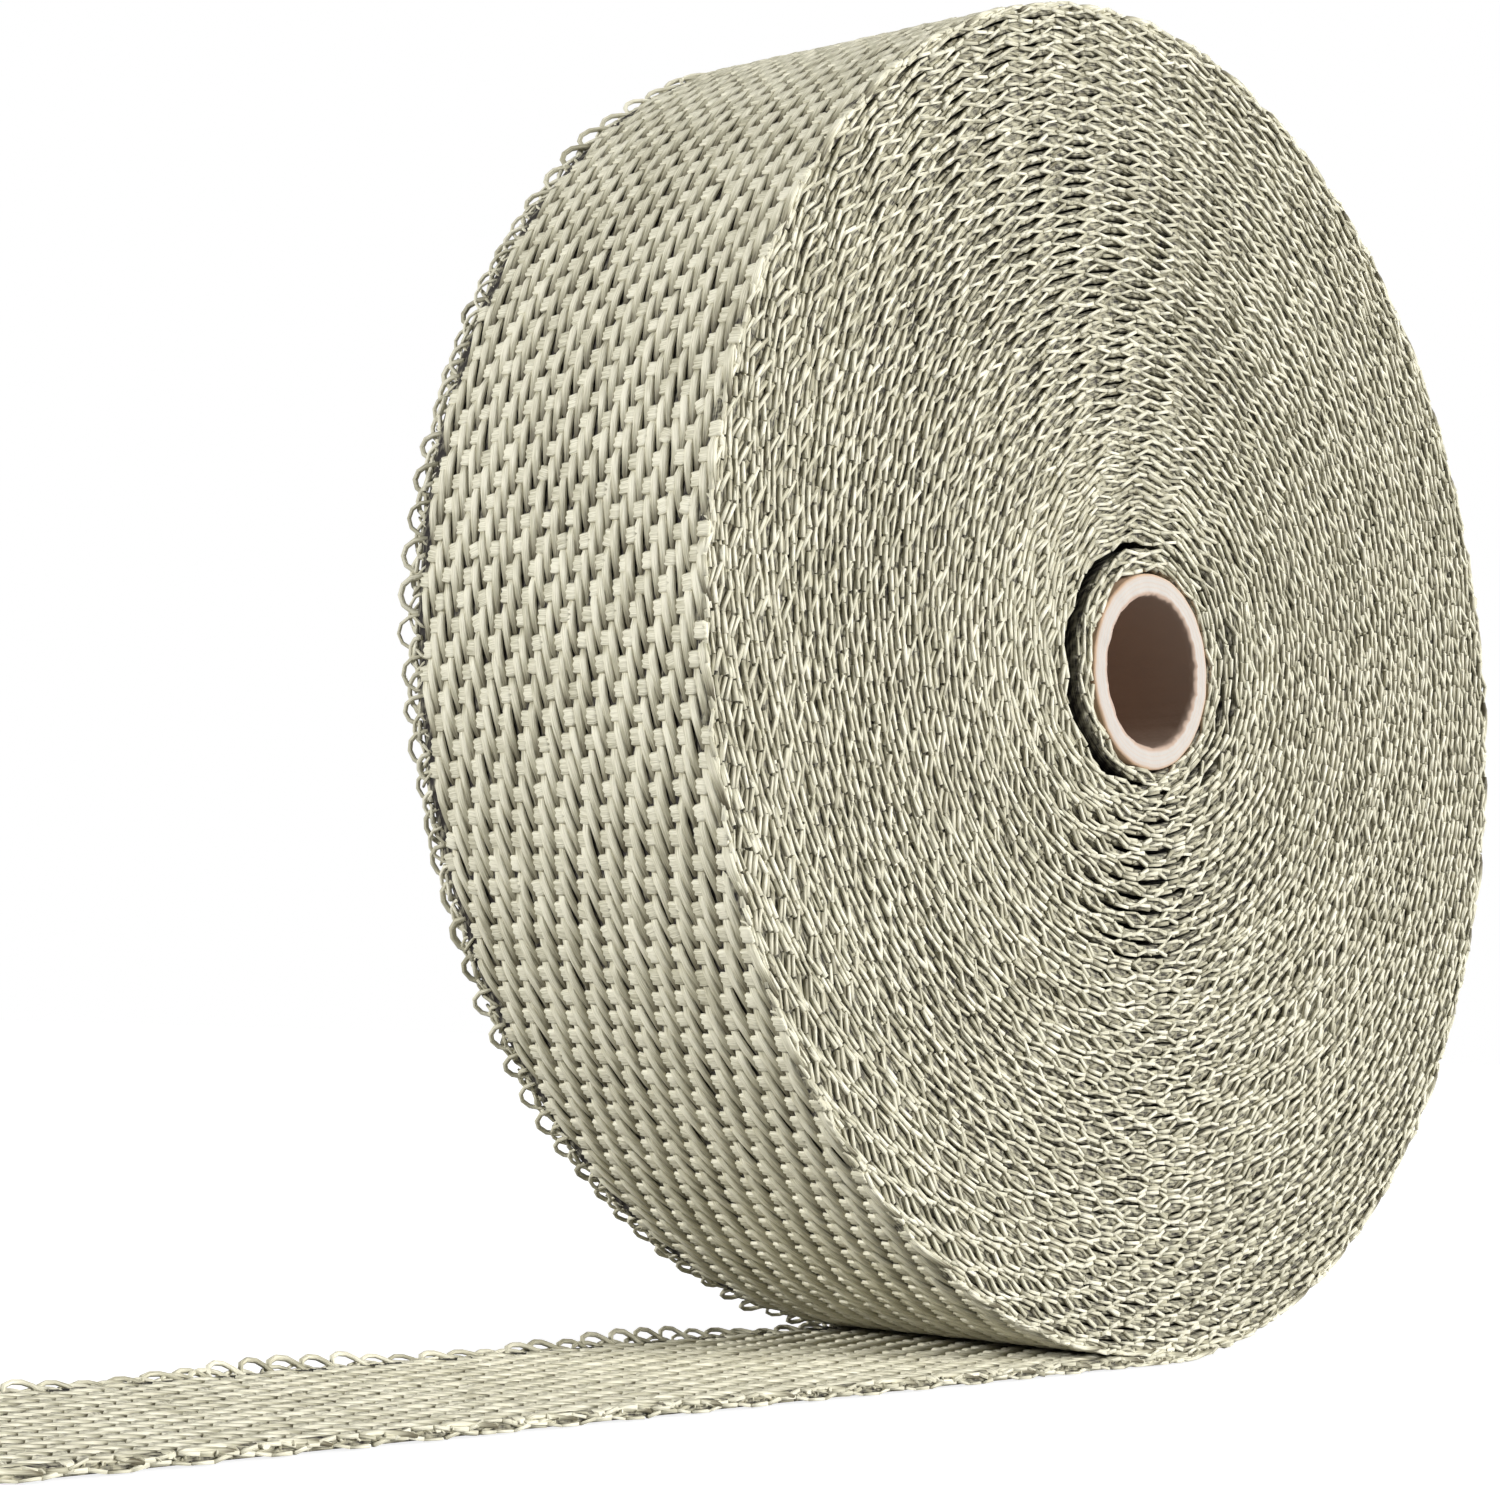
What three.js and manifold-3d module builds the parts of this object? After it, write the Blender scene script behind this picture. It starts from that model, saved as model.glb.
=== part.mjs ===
// A roll of woven exhaust heat wrap on its cardboard core, standing on its rim with its free end laid out.
// Units are millimetres, +Z is up. The roll's axis runs along Y and the free end lies towards -X.
// The origin is on the floor, below the roll's axis, at the middle of the tape's width.
import * as THREE from "three";
import { mergeVertices } from "three/addons/utils/BufferGeometryUtils.js";
import Module from "manifold-3d";

const wasm = await Module();
wasm.setup();

// The tape
const tapeWidth = 50;
const tapeThickness = 1.6;
const tapeEdgeChamfer = 0.4;
const freeEndLength = 240;

// The roll, whose ends show one groove for every few turns
const rollOuterRadius = 88.7;
const rollFacets = 48;
const turnsPerGroove = 3;
const grooveWidth = 0.8;
const grooveDepth = 1.2;
const innermostGrooveRadius = 23;
const outermostGrooveInset = 2.4;

// The cardboard core, which sits a little above the roll's axis
const coreBoreRadius = 10;
const coreWall = 3;
const coreLength = 49;
const coreEndChamfer = 0.4;
const coreFacets = 32;
const coreClearance = 0.3;
const coreRise = 2;

// The innermost turns are slack. Each gap lies outside so many turns round the core,
// and is widest in one direction.
const slackGaps = [
  { turnsInside: 1, width: 4, directionDeg: 195, halfSpanDeg: 85 },
  { turnsInside: 1, width: 1.8, directionDeg: 345, halfSpanDeg: 50 },
  { turnsInside: 3, width: 1.2, directionDeg: 10, halfSpanDeg: 45 },
];
const slackArcStepDeg = 10;

// A cutter runs this far past the faces that it cuts through
const cutOverrun = 2;

// The roll's lowest facet lies on the floor
const axisHeight = rollOuterRadius * Math.cos(Math.PI / rollFacets);
const corePlace = new THREE.Vector3(0, 0, axisHeight + coreRise);
const coreOuterRadius = coreBoreRadius + coreWall;
const coreSeatRadius = coreOuterRadius + coreClearance;

function toSolid(geometry) {
  const bare = geometry.clone();
  bare.deleteAttribute("normal");
  bare.deleteAttribute("uv");
  const merged = mergeVertices(bare, 1e-4);
  return new wasm.Manifold(new wasm.Mesh({
    numProp: 3,
    vertProperties: new Float32Array(merged.attributes.position.array),
    triVerts: new Uint32Array(merged.index.array),
  }));
}

function toGeometry(solid) {
  const mesh = solid.getMesh();
  const geometry = new THREE.BufferGeometry();
  geometry.setAttribute("position", new THREE.BufferAttribute(new Float32Array(mesh.vertProperties), 3));
  geometry.setIndex(new THREE.BufferAttribute(new Uint32Array(mesh.triVerts), 1));
  geometry.computeVertexNormals();
  return geometry;
}

// Turns a profile of [radius, y] points round the Y axis, with a facet's flat at the bottom
function turned(profile, facets) {
  const points = profile.map(([radius, y]) => new THREE.Vector2(radius, y));
  return new THREE.LatheGeometry(points, facets, Math.PI / facets, 2 * Math.PI);
}

// Extrudes an outline of [across, up] points along the direction that `along` gives, centred on the origin
function extruded(outline, across, along, length) {
  const shape = new THREE.Shape(outline.map(([u, v]) => new THREE.Vector2(u, v)));
  const geometry = new THREE.ExtrudeGeometry(shape, { depth: length, bevelEnabled: false });
  geometry.translate(0, 0, -length / 2);
  geometry.applyMatrix4(new THREE.Matrix4().makeBasis(across, new THREE.Vector3(0, 0, 1), along));
  return geometry;
}

// The groove radii, from the innermost one outwards
function grooveRadii() {
  const radii = [];
  const step = turnsPerGroove * tapeThickness;
  for (let radius = innermostGrooveRadius; radius <= rollOuterRadius - outermostGrooveInset; radius += step) {
    radii.push(radius);
  }
  return radii;
}

// One end of the roll as [radius, y] points, from the axis out to the rim, with a groove between groups of turns
function rollEndProfile() {
  const face = tapeWidth / 2;
  const points = [[0, face]];
  for (const radius of grooveRadii()) {
    points.push([radius - grooveWidth / 2, face]);
    points.push([radius, face - grooveDepth]);
    points.push([radius + grooveWidth / 2, face]);
  }
  points.push([rollOuterRadius - tapeEdgeChamfer, face]);
  points.push([rollOuterRadius, face - tapeEdgeChamfer]);
  return points;
}

function woundRoll() {
  const farEnd = rollEndProfile();
  const nearEnd = farEnd.map(([radius, y]) => [radius, -y]);
  const profile = [...nearEnd, ...farEnd.reverse()];
  return toSolid(turned(profile, rollFacets)).translate([0, 0, axisHeight]);
}

// The tape's section as [y, z] points, with its underside at height zero
function tapeSection() {
  const side = tapeWidth / 2;
  const inner = side - tapeEdgeChamfer;
  const top = tapeThickness;
  const c = tapeEdgeChamfer;
  return [[-inner, 0], [inner, 0], [side, c], [side, top - c], [inner, top], [-inner, top], [-side, top - c], [-side, c]];
}

// The free end runs along the floor from under the roll's axis
function freeEnd() {
  const across = new THREE.Vector3(0, 1, 0);
  const along = new THREE.Vector3(1, 0, 0);
  return toSolid(extruded(tapeSection(), across, along, freeEndLength)).translate([-freeEndLength / 2, 0, 0]);
}

// A crescent round the core: its inner arc is the turn inside it, and its outer arc is a wider circle set off sideways
function slackOutline({ turnsInside, width, directionDeg, halfSpanDeg }) {
  const inner = coreSeatRadius + turnsInside * tapeThickness;
  const reach = inner + width;
  const halfSpan = THREE.MathUtils.degToRad(halfSpanDeg);
  const shift = (reach ** 2 - inner ** 2) / (2 * (reach - inner * Math.cos(halfSpan)));
  const outer = reach - shift;
  const steps = Math.round(2 * halfSpanDeg / slackArcStepDeg);
  const direction = THREE.MathUtils.degToRad(directionDeg);
  const innerArc = [];
  const outerArc = [];
  for (let i = 0; i <= steps; i += 1) {
    const turn = halfSpan * (2 * i / steps - 1);
    const wide = shift * Math.cos(turn) + Math.sqrt(outer ** 2 - (shift * Math.sin(turn)) ** 2);
    const angle = direction + turn;
    outerArc.push([wide * Math.cos(angle), wide * Math.sin(angle)]);
    if (i > 0 && i < steps) innerArc.push([inner * Math.cos(angle), inner * Math.sin(angle)]);
  }
  return [...outerArc, ...innerArc.reverse()];
}

function slackCutter(gap) {
  const across = new THREE.Vector3(1, 0, 0);
  const along = new THREE.Vector3(0, -1, 0);
  const solid = toSolid(extruded(slackOutline(gap), across, along, tapeWidth + 2 * cutOverrun));
  return solid.translate(corePlace.toArray());
}

function coreSeatCutter() {
  const length = tapeWidth + 2 * cutOverrun;
  const geometry = new THREE.CylinderGeometry(coreSeatRadius, coreSeatRadius, length, coreFacets);
  geometry.rotateY(Math.PI / coreFacets);
  return toSolid(geometry).translate(corePlace.toArray());
}

// One length of tape: the wound roll and the free end, with the core's seat and the slack cut through
function wrapTape() {
  let tape = woundRoll().add(freeEnd()).subtract(coreSeatCutter());
  for (const gap of slackGaps) tape = tape.subtract(slackCutter(gap));
  const material = new THREE.MeshStandardMaterial({ color: 0x8f8a6c, roughness: 0.85, metalness: 0 });
  const mesh = new THREE.Mesh(toGeometry(tape), material);
  mesh.name = "wrap_tape";
  return mesh;
}

// The core is a cardboard tube with its end edges broken
function coreTube() {
  const half = coreLength / 2;
  const c = coreEndChamfer;
  const profile = [
    [coreBoreRadius, -half], [coreOuterRadius - c, -half], [coreOuterRadius, c - half],
    [coreOuterRadius, half - c], [coreOuterRadius - c, half], [coreBoreRadius, half], [coreBoreRadius, -half],
  ];
  const material = new THREE.MeshStandardMaterial({ color: 0xd9cbb9, roughness: 0.9, metalness: 0 });
  const mesh = new THREE.Mesh(turned(profile, coreFacets), material);
  mesh.name = "core_tube";
  mesh.position.copy(corePlace);
  return mesh;
}

const heatWrapRoll = new THREE.Group();
heatWrapRoll.add(wrapTape(), coreTube());

export default heatWrapRoll;
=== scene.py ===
import math

import bpy
import numpy as np
from bpy.props import FloatProperty, FloatVectorProperty, IntProperty, PointerProperty
from mathutils import Matrix, Vector


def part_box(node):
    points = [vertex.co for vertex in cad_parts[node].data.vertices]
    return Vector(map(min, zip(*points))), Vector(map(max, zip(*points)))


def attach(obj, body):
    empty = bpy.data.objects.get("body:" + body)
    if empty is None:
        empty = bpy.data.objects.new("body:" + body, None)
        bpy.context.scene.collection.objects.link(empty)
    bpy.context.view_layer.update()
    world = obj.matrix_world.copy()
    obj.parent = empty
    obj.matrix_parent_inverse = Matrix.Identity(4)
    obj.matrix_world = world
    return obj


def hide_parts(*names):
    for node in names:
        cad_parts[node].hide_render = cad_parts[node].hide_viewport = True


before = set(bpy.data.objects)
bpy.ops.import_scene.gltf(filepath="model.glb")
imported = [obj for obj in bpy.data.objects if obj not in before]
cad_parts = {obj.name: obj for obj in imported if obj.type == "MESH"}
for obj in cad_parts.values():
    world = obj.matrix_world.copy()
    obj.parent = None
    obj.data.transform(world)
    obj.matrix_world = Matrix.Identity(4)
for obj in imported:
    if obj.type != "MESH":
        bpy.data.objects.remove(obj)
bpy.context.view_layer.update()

bl_info = {
    "name": "Exhaust Heat Wrap Roll",
    "version": (1, 0, 0),
    "blender": (4, 5, 0),
    "location": "View3D > Sidebar > Heat Wrap",
    "description": "Dresses a wound roll of woven glass fibre heat wrap, yarn by yarn, on its paper core",
    "category": "Add Mesh",
}

MM = 0.001
TAU = 2 * math.pi

# The photograph's camera, in metres and degrees.
PHOTO_WIDTH_PX = 1500
FOCAL_LENGTH_PX = 3350
SENSOR_WIDTH_MM = 36
CAMERA_PLACE = (-0.3626, -0.2758, 0.0448)
CAMERA_YAW_DEG = 48.43
CAMERA_PITCH_DEG = 4.54
CAMERA_ROLL_DEG = 1.74

# The loose first turns. Each row: turns from the inner end, then how far the tape's middle line runs
# from the roll's axis on the right, at the top, on the left and at the bottom, in millimetres.
LOOSE_TURNS = (
    (1.3, 14.1, 16.0, 14.1, 12.2),
    (2.0, 15.5, 18.3, 19.0, 13.5),
    (3.0, 18.3, 19.9, 20.6, 15.1),
    (4.0, 21.0, 21.5, 22.2, 16.7),
)
FIRST_TURN = 0.35
ROUND_FROM_TURN = 14.0
SAMPLES_PER_TURN = 400
FREE_END_SAMPLES = 120

# The rim is out of round from this far from the axis, in millimetres, and more so as a power of the way out.
WOBBLE_FROM = 30.0
WOBBLE_POWER = 1.5

# Yarns that would pass the cut end or sink into the floor are pressed flat there: how far the line
# runs on past the cut and the least height, in millimetres, then the share of the excess that is kept.
PAST_THE_CUT = 1.0
FLOOR_GAP = 0.08
PRESSED = 0.03

# A two-and-two twill: each yarn passes over two and under two.
TWILL = 4

# The ribbon's wefts start to show this far inside its far edge, and are full this far inside its near
# edge, which is a little further out, in metres.
WEFTS_SHOW = 0.0006

# The lights shine from these places towards the roll, in metres; the angle makes their shadows soft.
KEY_PLACE = (-0.88, 0.34, 0.28)
KEY_ANGLE_DEG = 12
FILL_PLACE = (0.30, -0.93, 0.20)
FILL_ANGLE_DEG = 30

# The floor is a disc, in metres, set just under the roll.
FLOOR_RADIUS = 4
FLOOR_CORNERS = 64
FLOOR_HEIGHT = -0.0002


# Properties


def length(name, description, default):
    """A size in metres, shown in the scene's length unit."""
    return FloatProperty(
        name=name, description=description, default=default, min=0.0, precision=5, unit="LENGTH"
    )


def colour(name, description, default):
    """A colour in linear light."""
    return FloatVectorProperty(
        name=name, description=description, default=default, size=3, min=0.0, max=1.0, subtype="COLOR"
    )


def strength(name, description, default):
    """A strength of light, as Blender counts it."""
    return FloatProperty(name=name, description=description, default=default, min=0.0)


class HeatWrapSizes(bpy.types.PropertyGroup):
    """Sizes of the tape, its weave and its core."""

    tape_width: length("Tape width", "Over the selvedge loops of both edges", 0.050)
    turn_pitch: length("Turn pitch", "Thickness of one turn of the tape", 0.0016)
    roll_radius: length("Roll radius", "Axis to the outer face of the last turn", 0.0887)
    free_end: length("Free end", "Straight tape on the floor, past the roll's axis", 0.240)
    ribbon_thickness: length("Ribbon thickness", "The tape without its raised yarns", 0.0008)
    ribbon_edge: length("Ribbon edge", "Thickness of the tape where its weft turns back", 0.00142)
    near_edge: length("Near edge", "Middle of the tape to the close-woven edge", 0.0240)
    far_edge: length("Far edge", "Middle of the tape to the looped edge, without its loops", 0.0228)
    warp_pitch: length("Warp pitch", "From one lengthwise yarn to the next", 0.00092)
    warp_count: IntProperty(
        name="Warp count", description="Lengthwise yarns across the tape", default=50, min=4
    )
    weave_middle: FloatProperty(
        name="Weave middle", description="Middle of the weave across the tape: the far selvedge is the wider",
        default=-0.0014, precision=5, unit="LENGTH",
    )
    pick_pitch: length("Pick pitch", "From one crosswise yarn to the next", 0.0029)
    loop_pitch: length("Loop pitch", "From one loop to the next along the looped edge", 0.0047)
    strand_thickness: length("Strand thickness", "Threads that show on the roll's ends", 0.00060)
    core_bore: length("Core bore", "Radius of the paper core's bore", 0.010)
    out_of_round: length("Out of round", "How far the rim departs from a circle", 0.0024)


class HeatWrapColours(bpy.types.PropertyGroup):
    """Colours of the glass yarn and the core board."""

    # Bright yarn is painted highlight and shaded yarn is painted shade: lit and shaded copies of the yarn's
    # colour, mixed in by each yarn's tone. The gap colour is painted shade between the yarns.
    bright: colour("Bright yarn", "Clean, raised glass yarn", (0.80, 0.77, 0.62))
    body: colour("Yarn", "The yarn's usual colour", (0.48, 0.455, 0.33))
    shade: colour("Shaded yarn", "Yarn low in the weave", (0.12, 0.105, 0.065))
    gap: colour("Gaps", "Dust and shade between the yarns", (0.018, 0.014, 0.012))
    board: colour("Core board", "The cut end of the paper core", (0.46, 0.43, 0.395))
    board_edge: colour("Core edge", "The worn edge of the core's end", (0.50, 0.34, 0.22))
    bore: colour("Core bore", "The brown paper inside the core", (0.42, 0.31, 0.24))


class HeatWrapStage(bpy.types.PropertyGroup):
    """The floor and the studio light."""

    floor: colour("Floor", "The pale floor", (0.34, 0.34, 0.35))
    floor_lift: strength("Floor lift", "White added to the floor as seen", 0.85)
    key: strength("Key light", "Strength of the key light", 3.3)
    fill: strength("Fill light", "Strength of the fill light", 5.3)
    sky: strength("Sky", "Strength of the surrounding white as light", 0.13)


# The tape's path


class TapeLine:
    """The tape's middle line, from its inner end on the core to its free end on the floor, in millimetres.

    A place on the tape is (s, y, n): the length along the line, the place across the tape, and the
    height over the middle line, away from the roll's axis (and so downwards along the free end).
    """

    def __init__(self, sizes):
        self.pitch = sizes.turn_pitch / MM
        self.radius = sizes.roll_radius / MM
        self.wobble = sizes.out_of_round / MM
        last_radius = self.radius - self.pitch / 2
        self.turns = LOOSE_TURNS[-1][0] + (last_radius - np.mean(LOOSE_TURNS[-1][1:])) / self.pitch
        turn = np.linspace(FIRST_TURN, self.turns, int(SAMPLES_PER_TURN * (self.turns - FIRST_TURN)))
        angle = -math.pi / 2 + TAU * (self.turns - turn)
        distance = self.distances(turn, angle, last_radius)
        x = distance * np.cos(angle)
        z = self.radius + distance * np.sin(angle)
        tail = np.linspace(0, -sizes.free_end / MM - PAST_THE_CUT, FREE_END_SAMPLES)[1:]
        self.x = np.concatenate([x, tail])
        self.z = np.maximum(np.concatenate([z, np.full(len(tail), z[-1])]), self.pitch / 2)
        step = np.hypot(np.diff(self.x), np.diff(self.z))
        self.s = np.concatenate([[0], np.cumsum(step)])
        self.end_of_roll = self.s[len(x) - 1]
        self.end = self.end_of_roll + sizes.free_end / MM
        self.outer_turn = self.s[len(x) - 1 - SAMPLES_PER_TURN]
        tangent_x, tangent_z = np.gradient(self.x, self.s), np.gradient(self.z, self.s)
        size = np.hypot(tangent_x, tangent_z)
        self.nx, self.nz = -tangent_z / size, tangent_x / size

    def distances(self, turn, angle, last_radius):
        """How far the line runs from the roll's axis: loose round the core, then an even spiral."""
        table = np.array(LOOSE_TURNS)
        right, top, left, bottom = table[:, 1:].T
        mean = (right + top + left + bottom) / 4
        knots = np.concatenate([[0], table[:, 0], [ROUND_FROM_TURN, self.turns]])
        round_mean = mean[-1] + self.pitch * (ROUND_FROM_TURN - table[-1, 0])
        means = np.concatenate([mean[:1], mean, [round_mean, last_radius]])
        waves = [(right - left) / 2, (top - bottom) / 2, (right - top + left - bottom) / 4]
        even, across, up, oval = (
            np.interp(turn, knots, row)
            for row in [means, *[np.concatenate([w[:1], w, [0, 0]]) for w in waves]]
        )
        shape = even + across * np.cos(angle) + up * np.sin(angle) + oval * np.cos(2 * angle)
        way_out = np.clip((shape - WOBBLE_FROM) / (last_radius - WOBBLE_FROM), 0, 1)
        worn = way_out**WOBBLE_POWER
        return shape - self.wobble * worn * np.sin(2 * angle)

    def place(self, flat):
        """World places, in millimetres, of (s, y, n) places."""
        s, y, n = np.moveaxis(flat, -1, 0)
        s = np.minimum(s, self.end) + PRESSED * np.maximum(s - self.end, 0)
        x = np.interp(s, self.s, self.x) + n * np.interp(s, self.s, self.nx)
        z = np.interp(s, self.s, self.z) + n * np.interp(s, self.s, self.nz)
        z = np.maximum(z, FLOOR_GAP) + PRESSED * np.minimum(z - FLOOR_GAP, 0)
        return np.stack([x, y, z], -1)


# Meshes


def oval_section(corners, turned=0.0):
    """A round section's corners, as (across, up) shares of its half sizes."""
    angle = (np.arange(corners) + turned) * TAU / corners
    return np.stack([np.cos(angle), np.sin(angle)], -1)


def swept(centres, half_width, half_height, section, up):
    """Rings of strands whose middles run through centres, which is (strands, rings, 3).

    The side of a strand that faces out is up.
    """
    along = np.gradient(centres, axis=1)
    along /= np.linalg.norm(along, axis=-1, keepdims=True)
    side = np.cross(along, up)
    side /= np.linalg.norm(side, axis=-1, keepdims=True)
    top = np.cross(side, along)
    a = section[:, 0] * half_width[..., None]
    b = section[:, 1] * half_height[..., None]
    return centres[:, :, None] + a[..., None] * side[:, :, None] + b[..., None] * top[:, :, None]


def strand_faces(strands, rings, corners):
    """Corner lists of the sides and the two end caps of each strand."""
    index = np.arange(strands * rings * corners).reshape(strands, rings, corners)
    after = np.roll(index, -1, axis=2)
    sides = np.stack([index[:, :-1], after[:, :-1], after[:, 1:], index[:, 1:]], -1).reshape(-1, 4)
    caps = np.concatenate([index[:, 0, ::-1], index[:, -1]])
    return sides, caps


def strand_map(rings_flat, sides_shape, caps_count):
    """Map corners (across, along), in millimetres, for each strand's sides; the caps repeat their ring."""
    strands, rings, corners = sides_shape
    step = np.linalg.norm(np.diff(rings_flat.mean(2), axis=1), axis=-1)
    along = np.concatenate([np.zeros((strands, 1)), np.cumsum(step, 1)], 1)
    around = np.linalg.norm(np.roll(rings_flat, -1, axis=2) - rings_flat, axis=-1).max(1)
    across = np.concatenate([np.zeros((strands, 1)), np.cumsum(around, 1)], 1)
    start = (np.arange(strands) * 7.31) % 97.0
    u = across + start[:, None]
    left = np.broadcast_to(u[:, None, :-1], (strands, rings - 1, corners))
    right = np.broadcast_to(u[:, None, 1:], (strands, rings - 1, corners))
    low = np.broadcast_to(along[:, :-1, None], left.shape)
    high = np.broadcast_to(along[:, 1:, None], left.shape)
    u_corners = np.stack([left, right, right, left], -1)
    v_corners = np.stack([low, low, high, high], -1)
    side_map = np.stack([u_corners, v_corners], -1).reshape(-1, 2)
    cap_map = np.stack([np.repeat(np.tile(start, 2), corners), np.zeros(caps_count * corners)], -1)
    return np.concatenate([side_map, cap_map])


def signed_volume(points, quads):
    """Six times the volume within the sides, to tell which way they face."""
    a, b, c, d = (points[quads[:, i]] for i in range(4))
    return np.einsum("ij,ij->", a, np.cross(b, c)) + np.einsum("ij,ij->", a, np.cross(c, d))


def strands_mesh(name, flat, line, tone):
    """One mesh of closed strands on the tape.

    Each corner in flat, which is (strands, rings, corners, 3), is an (s, y, n) place on the line,
    and tone is the yarn's lightness, with painted shade and highlight in it.
    """
    strands, rings, corners = flat.shape[:3]
    points = line.place(flat).reshape(-1, 3)
    sides, caps = strand_faces(strands, rings, corners)
    uv = strand_map(flat, (strands, rings, corners), len(caps))
    if signed_volume(points[: rings * corners] - points[0], sides[: (rings - 1) * corners]) < 0:
        sides, caps = sides[:, ::-1], caps[:, ::-1]
        uv[: sides.size] = uv[: sides.size].reshape(-1, 4, 2)[:, ::-1].reshape(-1, 2)
    mesh = bpy.data.meshes.new(name)
    mesh.vertices.add(len(points))
    mesh.vertices.foreach_set("co", (points * MM).astype(np.float32).ravel())
    corners_list = np.concatenate([sides.ravel(), caps.ravel()]).astype(np.int32)
    totals = np.concatenate([np.full(len(sides), 4), np.full(len(caps), corners)])
    mesh.loops.add(len(corners_list))
    mesh.loops.foreach_set("vertex_index", corners_list)
    mesh.polygons.add(len(totals))
    mesh.polygons.foreach_set("loop_start", np.concatenate([[0], np.cumsum(totals)[:-1]]).astype(np.int32))
    mesh.update(calc_edges=True)
    mesh.polygons.foreach_set("use_smooth", totals == 4)
    layer = mesh.uv_layers.new(name="fibre_lines")
    layer.data.foreach_set("uv", uv.astype(np.float32).ravel())
    # yarn_tone holds each yarn's lightness, with its painted shade and highlight.
    tones = mesh.attributes.new("yarn_tone", "FLOAT", "POINT")
    tones.data.foreach_set("value", np.broadcast_to(tone, flat.shape[:3]).astype(np.float32).ravel())
    mesh.validate()
    return mesh


def tape_piece(name, mesh, material, node="wrap_tape"):
    """Puts a mesh in the scene as a piece of the part that stands for its CAD node."""
    mesh.materials.append(material)
    piece = bpy.data.objects.new(name, mesh)
    bpy.context.collection.objects.link(piece)
    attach(piece, "root")
    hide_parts(node)
    return piece


# Yarns


def crossings(sizes, first, last, phase):
    """Each crossing where a run of two begins, as its pick and its warp.

    There, warp + pick + phase is a multiple of four.
    """
    picks = np.arange(first, last)
    pick, warp = np.meshgrid(picks, np.arange(sizes.warp_count), indexing="ij")
    chosen = (pick + warp + phase) % TWILL == 0
    return pick[chosen].astype(float), warp[chosen].astype(float)


def weave_places(sizes, warp):
    """Places across the tape, in millimetres, of warps counted from the near edge."""
    middle = sizes.weave_middle / MM
    return middle + (warp - (sizes.warp_count - 1) / 2) * sizes.warp_pitch / MM


def warp_floats(sizes, first, last, side, fullness, seed):
    """Lengthwise yarns where they pass over two picks: slanted, crowned, and diving at both ends."""
    rng = np.random.default_rng(seed)
    pick_pitch = sizes.pick_pitch / MM
    phase = 2 if side > 0 else 0
    pick, warp = crossings(sizes, math.ceil(first / pick_pitch), math.floor(last / pick_pitch) - 1, phase)
    count = len(pick)
    t = np.array([-1.30, -0.92, -0.42, 0.2, 0.8, 1.34])
    dive = np.array([0.62, 0.34, 0.20, 0.02, 0.0, 0.44])
    breadth = np.array([0.44, 0.84, 1.06, 1.14, 1.16, 0.90])
    depth = np.array([0.6, 0.9, 1.0, 1.0, 0.9, 0.7])
    # The shade row paints shade on the float's diving ends and a painted highlight on its crown; the tone
    # subtracts it.
    shade = np.array([0.72, 0.56, 0.24, -0.12, -0.18, 0.24])
    half_length = 3.05 + 0.15 * rng.standard_normal(count)
    slant = 0.11 + 0.03 * rng.standard_normal(count)
    middle_y = weave_places(sizes, warp) + 0.08 * rng.standard_normal(count)
    middle_s = (pick + 0.5) * pick_pitch + 0.16 * rng.standard_normal(count)
    s = middle_s[:, None] + t * half_length[:, None]
    bow = 0.12 * rng.standard_normal(count)
    y = middle_y[:, None] + (slant * half_length)[:, None] * t + bow[:, None] * (1 - t**2)
    top = 0.60 + 0.04 * rng.standard_normal(count)
    n = side * (top[:, None] - dive)
    girth = fullness * (0.69 + 0.04 * rng.standard_normal(count))
    width = girth[:, None] * breadth
    height = 0.36 * depth * np.ones((count, 1))
    centres = np.stack([s, y, n], -1)
    rings = swept(centres, width, height, oval_section(6), np.array([0.0, 0.0, side]))
    tone = (0.76 + 0.06 * rng.standard_normal(count))[:, None] - shade
    return rings, tone[:, :, None]


def ridged_section():
    """A flattened bundle of three threads, as (across, up) shares: three crowns on top, flat below."""
    across = np.array([1.0, 0.72, 0.36, 0.0, -0.36, -0.72, -1.0, -0.55, 0.55])
    up = np.array([0.0, 0.86, 0.52, 1.0, 0.52, 0.86, 0.0, -0.7, -0.7])
    return np.stack([across, up], -1)


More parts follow.
